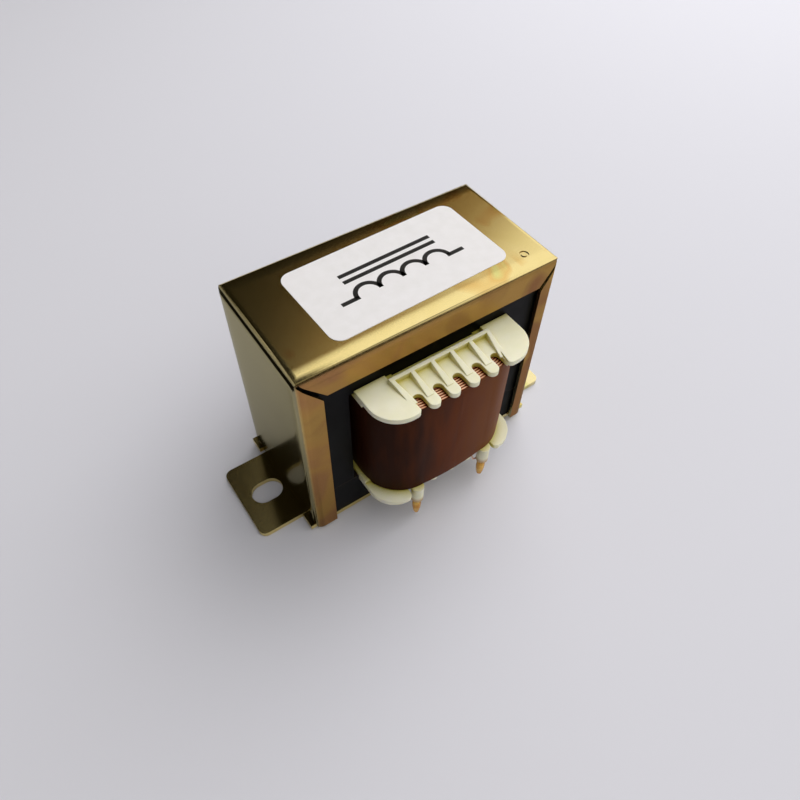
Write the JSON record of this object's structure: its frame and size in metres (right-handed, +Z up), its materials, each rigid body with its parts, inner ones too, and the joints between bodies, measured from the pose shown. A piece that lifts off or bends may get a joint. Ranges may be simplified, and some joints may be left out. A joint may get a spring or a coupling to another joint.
{
  "type": "iron-core choke coil",
  "caption": "Iron-core choke coil: a taped winding on a moulded bobbin round an EI core, held in a folded channel frame with slotted feet.",
  "frame": {"origin": "on the floor, under the middle of the core", "axes": "+X along the core and the feet towards the end with the narrow lips, +Y through the stack away from the terminals, +Z up"},
  "size_m": [0.0942, 0.058, 0.0595],
  "materials": {
    "frame_zinc": "yellow zinc plated, dull gloss",
    "strap_zinc": "yellow zinc plated, gloss",
    "core_steel": "varnished sheet edges, satin",
    "gap_paper": "matte",
    "bobbin_nylon": "moulded, satin",
    "insulation_paper": "matte",
    "magnet_wire": "enamelled copper, gloss",
    "coil_tape": "varnished tape, satin",
    "pin_brass": "tinned through, bright",
    "solder": "solder under flux residue, gloss",
    "label_paper": "satin"
  },
  "bodies": {
    "root": {"channel_frame": "frame_zinc", "base_strap": "strap_zinc", "e_laminations": "core_steel", "i_laminations": "core_steel", "gap_spacer": "gap_paper", "bobbin": "bobbin_nylon", "inner_insulation": "insulation_paper", "winding": "magnet_wire", "outer_tape": "coil_tape", "start_lead": "magnet_wire", "finish_lead": "magnet_wire", "left_terminal_pin": "pin_brass", "right_terminal_pin": "pin_brass", "left_solder_joint": "solder", "right_solder_joint": "solder", "label": "label_paper"}
  },
  "joints": []
}
